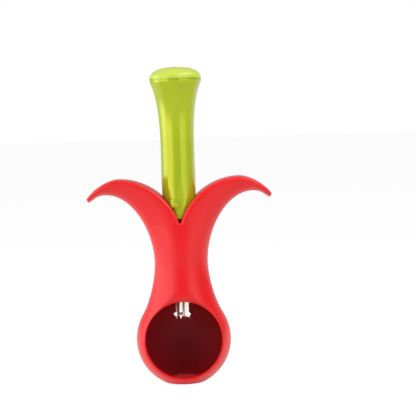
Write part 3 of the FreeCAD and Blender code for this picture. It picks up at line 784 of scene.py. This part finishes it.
def ground_steel(name, colour, rough, lines):
    """Polished steel with fine lines drawn along it."""
    finish = Finish(name, Metallic=1.0)
    drawn = finish.noise(finish.stretched(lines, lines, lines * 0.03), 1, 3)
    haze = finish.noise(finish.place(), 300, 2)
    tint = tuple(value * 0.86 for value in colour)
    finish.drive("Base Color", finish.blend(drawn * 0.6, colour, tint))
    finish.drive("Roughness", rough + drawn * 0.10 + haze * 0.05)
    finish.bump(drawn, 0.00001)
    return finish


def plain_moulding(name, colour, rough, grain_scale):
    """An inner moulding or seal, with an even grain."""
    finish = Finish(name, IOR=1.48)
    grain = finish.noise(finish.place(), grain_scale, 3)
    dark = tuple(value * 0.85 for value in colour)
    finish.drive("Base Color", finish.blend(grain * 0.5, colour, dark))
    finish.drive("Roughness", rough + grain * 0.08)
    finish.bump(grain, 0.00002)
    return finish


# the pieces


class PITTER_OT_shells(bpy.types.Operator):
    """The front and rear shells of the body"""

    bl_idname = "pitter.shells"
    bl_label = "Shells"

    def execute(self, context):
        scene = context.scene
        cup, wings, bore = scene.pitter_cup, scene.pitter_wings, scene.pitter_bore
        look = scene.pitter_finish
        body = BodySolid(cup, wings, bore, scene.pitter_stem.turn)
        # painted shade: the darker inner red darkens the cherry room's wall
        room = (look.red_inside, (0, 0, body.outline.centre), cup.room, cup.room + 0.9 * MM)
        grain, shine = 0.012 * MM, 0.5
        colours = look.red, look.red_deep, look.red_rough
        finish = moulded("shell_red", *colours, grain, shine, room)
        for name, side in (("front_shell", -1), ("rear_shell", 1)):
            half = HalfSolid(body, bore, side)
            piece = meshed(name + "_skin", half, body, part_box(name), cup.pitch)
            dressed(piece, finish.material, BODY, name)
        return {"FINISHED"}


def handle_profile(stem):
    """The ridges' distance from the axis and their height, from the foot to the dome's top."""
    ridge, waist, knob = stem.ridge, (stem.ridge, stem.waist), (stem.knob, stem.knob_level)
    ease, foot = 5.7 * MM, stem.shaft + 1.6 * MM
    fade = [(foot, STEM_LOW - ease), (ridge, STEM_LOW + ease)]
    fade += [(ridge, stem.facet_start + ease), waist]
    flare = leaning(knob, math.pi + stem.knob_angle, stem.knob_handle)
    rise = [waist, (ridge, stem.waist + stem.waist_handle), flare, knob]
    shoulder = leaning(knob, stem.knob_angle, stem.dome_handle)
    dome = [knob, shoulder, (stem.dome_flat, CAP_HIGH), (0, CAP_HIGH)]
    shares = np.linspace(0, 1, 300)
    runs = [bezier(fade, shares), bezier(rise, shares)[1:], bezier(dome, shares)[1:]]
    return softened(np.concatenate(runs), HANDLE_SOFT)


def stem_reach(stem, ridge, level, turns):
    """The stem's distance from its axis all round, where its ridges are this far out."""
    half = math.pi / stem.facets
    scale = max(ridge, MM) / stem.ridge
    bulge = stem.bulge * scale
    chord, middle = ridge * math.sin(half), ridge * math.cos(half) + bulge
    arc = (chord**2 + bulge**2) / (2 * bulge)
    centre = middle - arc
    whole = np.full(len(turns), 1.0)
    for i in range(stem.facets):
        off = turns - stem.turn - 2 * half * i
        off = np.arctan2(np.sin(off), np.cos(off))
        side = centre * np.sin(off)
        facet = centre * np.cos(off) + np.sqrt(np.maximum(arc**2 - side**2, 0))
        facet = np.where(np.abs(off) < 1.2, facet, 1.0)
        whole = joined_min(whole, facet, stem.soften * scale)
    fading = min(max((level - stem.facet_start) / stem.wedge + 1, 0), 1)
    past = max(level - stem.facet_start, 0)
    limit = stem.shaft + (stem.ridge - stem.shaft) * fading + past * 0.6
    whole = joined_min(whole, limit, stem.soften * 0.4)
    done = min(max((level - stem.facet_end) / stem.facet_fade, 0), 1)
    roundness = done**2 * (3 - 2 * done)
    return whole * (1 - roundness) + ridge * roundness


def all_round(count):
    """The turns of this many points round a ring."""
    return np.linspace(0, 2 * math.pi, count, endpoint=False)


def ring(reach, turns, level):
    x, y = reach * np.sin(turns), -reach * np.cos(turns)
    return np.stack([x, y, np.zeros_like(turns) + level], axis=1)


class PITTER_OT_stem(bpy.types.Operator):
    """The faceted stem with its lug"""

    bl_idname = "pitter.stem"
    bl_label = "Stem"

    def execute(self, context):
        scene = context.scene
        stem, look = scene.pitter_stem, scene.pitter_finish
        turns = all_round(STEM_POINTS)
        profile = handle_profile(stem)

        def reach_at(level):
            ridge = np.interp(level, profile[:, 1], profile[:, 0])
            return stem_reach(stem, ridge, level, turns)

        edge, top = 0.4 * MM, STEM_HIGH
        inner = np.full_like(turns, stem.hollow)
        rings = [ring(inner * 0.02, turns, top - 5 * MM), ring(inner, turns, top - 5 * MM)]
        rings.append(ring(inner, turns, STEM_LOW + edge))
        for part in np.linspace(0, math.pi / 2, 5):
            low = STEM_LOW + edge * (1 - math.sin(part))
            rings.append(ring(inner + edge * (1 - math.cos(part)), turns, low))
        for part in np.linspace(0, math.pi / 2, 6):
            low = STEM_LOW + edge * (1 - math.cos(part))
            rings.append(ring(reach_at(low) - edge * (1 - math.sin(part)), turns, low))
        for level in np.linspace(STEM_LOW + 2 * edge, top, 170):
            rings.append(ring(reach_at(level), turns, level))
        rings.append(ring(inner, turns, top))
        rings.append(ring(inner * 0.02, turns, top))
        piece = lofted("stem_skin", rings)
        self.add_lug(piece, stem)
        grain, shine = 0.004 * MM, 1.0
        colours = look.green, look.green_deep, look.green_rough
        finish = moulded("plunger_green", *colours, grain, shine)
        finish.drive("IOR", look.green_index)
        finish.drive("Specular Tint", look.green_sheen)
        dressed(piece, finish.material, PLUNGER, "plunger_stem")
        return {"FINISHED"}

    def add_lug(self, piece, stem):
        """The bevelled block, set into the stem's front."""
        build = bmesh.new()
        build.from_mesh(piece.data)
        made = bmesh.ops.create_cube(build, size=1.0)["verts"]
        reach = stem.shaft + stem.lug_proud
        deep = 2.4 * MM
        for vert in made:
            vert.co.x *= stem.lug_width
            vert.co.y = vert.co.y * deep - reach + deep / 2
            vert.co.z = vert.co.z * stem.lug_tall + stem.lug_level
        edges = list({e for v in made for e in v.link_edges})
        bmesh.ops.bevel(
            build, geom=edges, offset=stem.lug_edge, segments=4, profile=0.5, affect="EDGES"
        )
        build.verts.ensure_lookup_table()
        block = build.verts[len(piece.data.vertices) :]
        spin = Euler((0, 0, stem.turn)).to_matrix()
        bmesh.ops.rotate(build, verts=block, cent=(0, 0, 0), matrix=spin)
        for face in build.faces:
            face.smooth = True
        build.to_mesh(piece.data)
        build.free()


class PITTER_OT_cap(bpy.types.Operator):
    """The domed thumb cap"""

    bl_idname = "pitter.cap"
    bl_label = "Thumb cap"

    def execute(self, context):
        scene = context.scene
        stem = scene.pitter_stem
        turns = all_round(STEM_POINTS)
        profile = handle_profile(stem)
        low = STEM_HIGH
        start = (np.interp(low, profile[:, 1], profile[:, 0]), low)
        upper = profile[profile[:, 1] > low + 0.02 * MM]
        upper = np.concatenate([[start], upper[::3]])
        foot = stem_reach(stem, start[0], low, turns)
        rings = [ring(foot * 0.02, turns, low), ring(foot * 0.9, turns, low)]
        for ridge, level in upper:
            reach = stem_reach(stem, ridge, level, turns)
            rings.append(ring(np.maximum(reach, 1e-5), turns, level))
        piece = lofted("cap_skin", rings)
        packed_green = bpy.data.materials["plunger_green"]
        dressed(piece, packed_green, PLUNGER, "thumb_cap")
        return {"FINISHED"}


class PITTER_OT_rod(bpy.types.Operator):
    """The ribbed rod with its crown of teeth"""

    bl_idname = "pitter.rod"
    bl_label = "Pitting rod"

    def section(self, rod, turns, outer):
        """The ribbed section's reach, with the ribs out to a radius."""
        reach = np.full_like(turns, outer)
        for i in range(4):
            off = turns - math.radians(45 + 90 * i)
            side = rod.flute_reach * np.sin(off)
            hit = (np.abs(side) < rod.flute) & (np.cos(off) > 0)
            flute = rod.flute_reach * np.cos(off) - np.sqrt(
                np.maximum(rod.flute**2 - side**2, 0)
            )
            reach = np.where(hit, joined_min(reach, flute, rod.rib_edge), reach)
        return reach

    def execute(self, context):
        scene = context.scene
        rod, look = scene.pitter_rod, scene.pitter_finish
        turns = all_round(ROD_POINTS)
        between = np.abs(np.sin(2 * turns))
        foot = ROD_LOW + rod.tooth_cut * between**0.8
        shoulder = ROD_LOW + rod.shoulder
        waist = ROD_LOW + rod.crown_height

        def slice_at(reach, level):
            return ring(reach, turns + rod.turn, level)

        rings = [slice_at(np.full_like(turns, 2e-5), ROD_LOW + 2.4 * MM)]
        rings.append(slice_at(0.55 * rod.radius + 0 * turns, ROD_LOW + 2.2 * MM))
        tip = self.section(rod, turns, rod.tooth_tip)
        rings.append(slice_at(tip - 0.35 * MM, foot + 0.15 * MM))
        rings.append(slice_at(tip, foot))
        for part in np.linspace(0.12, 1, 10):
            out = rod.tooth_tip + (rod.crown - rod.tooth_tip) * part**0.8
            level = foot + (shoulder - foot) * part
            rings.append(slice_at(self.section(rod, turns, out), level))
        for part in np.linspace(0.1, 1, 10):
            ease = (1 - math.cos(part * math.pi)) / 2
            out = rod.crown + (rod.radius - rod.crown) * ease
            level = shoulder + (waist - shoulder) * part
            rings.append(slice_at(self.section(rod, turns, out), level))
        shank = self.section(rod, turns, rod.radius)
        for level in np.linspace(waist + 0.5 * MM, ROD_HIGH, 12):
            rings.append(slice_at(shank, level))
        rings.append(slice_at(np.full_like(turns, 2e-5), ROD_HIGH))
        piece = lofted("rod_skin", rings)
        finish = ground_steel("rod_steel", look.steel, look.steel_rough, 900)
        dressed(piece, finish.material, PLUNGER, "pitting_rod")
        return {"FINISHED"}


class PITTER_OT_spring(bpy.types.Operator):
    """The coiled return spring, built once at its packed length; the real one shortens as the plunger comes down
    """

    bl_idname = "pitter.spring"
    bl_label = "Return spring"

    def execute(self, context):
        scene = context.scene
        spring = scene.pitter_spring
        seat, top = (corner.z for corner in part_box("return_spring"))
        low, high = seat + spring.wire, top - spring.wire
        close = 2 * spring.wire + spring.seat_gap
        total = spring.turns + 2 * spring.seat_turns
        turned = np.linspace(0, total, int(total * 24) + 1)
        marks = [0, spring.seat_turns, total - spring.seat_turns, total]
        rise = spring.seat_turns * close
        level = np.interp(turned, marks, [low, low + rise, high - rise, high])
        spin = 2 * math.pi * turned
        out = np.stack([np.cos(spin), np.sin(spin), 0 * spin], axis=1)
        middle = out * spring.coil
        middle[:, 2] = level
        round_wire = all_round(WIRE_POINTS)
        up = np.array([0, 0, 1.0])
        rings = [
            m + spring.wire * (np.cos(round_wire)[:, None] * o + np.sin(round_wire)[:, None] * up)
            for m, o in zip(middle, out)
        ]
        piece = lofted("spring_coil", rings)
        look = scene.pitter_finish
        finish = ground_steel("spring_steel", look.wire, look.wire_rough, 700)
        dressed(piece, finish.material, BODY, "return_spring")
        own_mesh(piece)
        return {"FINISHED"}


class PITTER_OT_inner(bpy.types.Operator):
    """Finishes of the bush, wiper, washer, holder and pin"""

    bl_idname = "pitter.inner"
    bl_label = "Inner pieces"

    def execute(self, context):
        look = context.scene.pitter_finish
        packed_steel = bpy.data.materials["spring_steel"]
        finishes = {
            "guide_bush": plain_moulding("bush_white", look.bush, 0.42, 1500).material,
            "wiper_ring": plain_moulding("wiper_silicone", look.rubber, 0.60, 2500).material,
            "rod_holder": plain_moulding("holder_black", look.nylon, 0.48, 1800).material,
            "spring_washer": packed_steel,
            "rod_pin": packed_steel,
        }
        for node, finish in finishes.items():
            piece = frame["nodes"][node]
            piece.data.materials.clear()
            piece.data.materials.append(finish)
        return {"FINISHED"}


class PITTER_OT_stage(bpy.types.Operator):
    """Floor, surroundings, lights and camera"""

    bl_idname = "pitter.stage"
    bl_label = "Stage"

    middle = Vector((0, 0, 0.07))
    # azimuth and elevation in degrees, distance, and size across and up
    lamps = {
        "left": (-76, 10, 0.50, (1.00, 0.75)),
        "right": (44, 8, 0.62, (0.38, 0.70)),
        "side": (74, 54, 0.55, (0.50, 0.40)),
        "top": (42, 50, 0.55, (0.55, 0.45)),
    }

    def light(self, name, power, azimuth, elevation, distance, size):
        """A softbox round the object; azimuth 0 is in front and grows to the right."""
        turn, rise = math.radians(azimuth), math.radians(elevation)
        lamp = bpy.data.lights.new(name, "AREA")
        lamp.energy, lamp.shape = power, "RECTANGLE"
        lamp.size, lamp.size_y = size
        lit = bpy.data.objects.new(name, lamp)
        back = Vector(
            (math.sin(turn) * math.cos(rise), -math.cos(turn) * math.cos(rise), math.sin(rise))
        )
        lit.location = self.middle + back * distance
        lit.visible_camera = False
        lit.rotation_euler = (-back).to_track_quat("-Z", "Y").to_euler()
        bpy.context.scene.collection.objects.link(lit)

    def floor(self, grey):
        mesh = bpy.data.meshes.new("floor")
        build = bmesh.new()
        bmesh.ops.create_grid(build, x_segments=8, y_segments=8, size=3.0)
        build.to_mesh(mesh)
        build.free()
        piece = placed("floor", mesh)
        finish = Finish("floor_white", Roughness=0.9)
        ray = finish.node("ShaderNodeLightPath")
        clear = finish.larger(ray["Is Glossy Ray"], ray["Is Transmission Ray"])
        seen = finish.larger(ray["Is Camera Ray"], clear)
        finish.drive("Base Color", seen * (1 - grey) + grey)
        glow = finish.node("ShaderNodeEmission", None, Strength=1.08)["Emission"]
        plain = Signal(finish, finish.shader.outputs["BSDF"])
        mixed = finish.node("ShaderNodeMixShader", None, seen * 0.85, plain, glow)["Shader"]
        finish.feed(finish.tree.nodes["Material Output"].inputs["Surface"], mixed)
        piece.data.materials.append(finish.material)

    def surroundings(self, scene, front, over):
        """A white room: bright behind and above the object, dimmer in front."""
        world = bpy.data.worlds.new("surroundings")
        scene.world = world
        world.use_nodes = True
        room = Finish.on(world.node_tree)
        way = room.node("ShaderNodeTexCoord")["Generated"]
        sides = room.node("ShaderNodeSeparateXYZ", None, way)
        behind = room.node("ShaderNodeMapRange", None, sides["Y"], 0.55, 0.85, 0, 0.6)["Result"]
        above = room.node("ShaderNodeMapRange", None, sides["Z"], 0.35, 0.8, 0, over)["Result"]
        low = room.node("ShaderNodeMapRange", None, sides["Z"], 0.10, 0.40, 1, 0.4)["Result"]
        seen = room.node("ShaderNodeLightPath")
        bright = room.larger(room.larger(behind * low, above), seen["Is Camera Ray"])
        bright = room.larger(bright, seen["Is Transmission Ray"])
        back = world.node_tree.nodes["Background"]
        back.inputs["Color"].default_value = (1, 1, 1, 1)
        room.feed(back.inputs["Strength"], bright * (1 - front) + front)

    def camera(self, scene, stage):
        lens = bpy.data.cameras.new("camera")
        lens.lens, lens.sensor_width = stage.focal, 36.0
        lens.shift_x, lens.shift_y = stage.shift_x, stage.shift_y
        seer = bpy.data.objects.new("camera", lens)
        seer.location = (0, -stage.camera_back, stage.camera_level)
        tilt = Euler((math.pi / 2 - stage.camera_pitch, 0, 0)).to_matrix()
        roll = Euler((0, 0, -stage.camera_roll)).to_matrix()
        seer.rotation_euler = (tilt @ roll).to_euler()
        scene.collection.objects.link(seer)
        scene.camera = seer

    def execute(self, context):
        scene = context.scene
        stage = scene.pitter_stage
        scene.view_settings.view_transform = "Standard"
        self.floor(stage.floor_grey)
        self.surroundings(scene, stage.room_front, stage.room_above)
        for name, place in self.lamps.items():
            self.light(name + "_softbox", getattr(stage, name + "_power"), *place)
        self.camera(scene, stage)
        return {"FINISHED"}


class PITTER_PT_panel(bpy.types.Panel):
    """Lists the pieces in the 3D view's sidebar"""

    bl_label = "Cherry pitter"
    bl_space_type = "VIEW_3D"
    bl_region_type = "UI"
    bl_category = "Cherry pitter"

    def draw(self, context):
        for operator in OPERATORS:
            self.layout.operator(operator.bl_idname)


GROUPS = dict(
    pitter_cup=PitterCup, pitter_wings=PitterWings, pitter_bore=PitterBore,
    pitter_stem=PitterStem, pitter_rod=PitterRod, pitter_spring=PitterSpring,
    pitter_finish=PitterFinish, pitter_stage=PitterStage,
)
OPERATORS = (
    PITTER_OT_stage,
    PITTER_OT_shells,
    PITTER_OT_stem,
    PITTER_OT_cap,
    PITTER_OT_rod,
    PITTER_OT_spring,
    PITTER_OT_inner,
)
CLASSES = (*GROUPS.values(), *OPERATORS, PITTER_PT_panel)


def register():
    for made in CLASSES:
        bpy.utils.register_class(made)
    for name, group in GROUPS.items():
        setattr(bpy.types.Scene, name, PointerProperty(type=group))


def unregister():
    for name in GROUPS:
        delattr(bpy.types.Scene, name)
    for made in reversed(CLASSES):
        bpy.utils.unregister_class(made)


def main():
    register()
    for operator in OPERATORS:
        group, name = operator.bl_idname.split(".")
        getattr(getattr(bpy.ops, group), name)()


if __name__ == "__main__":
    main()
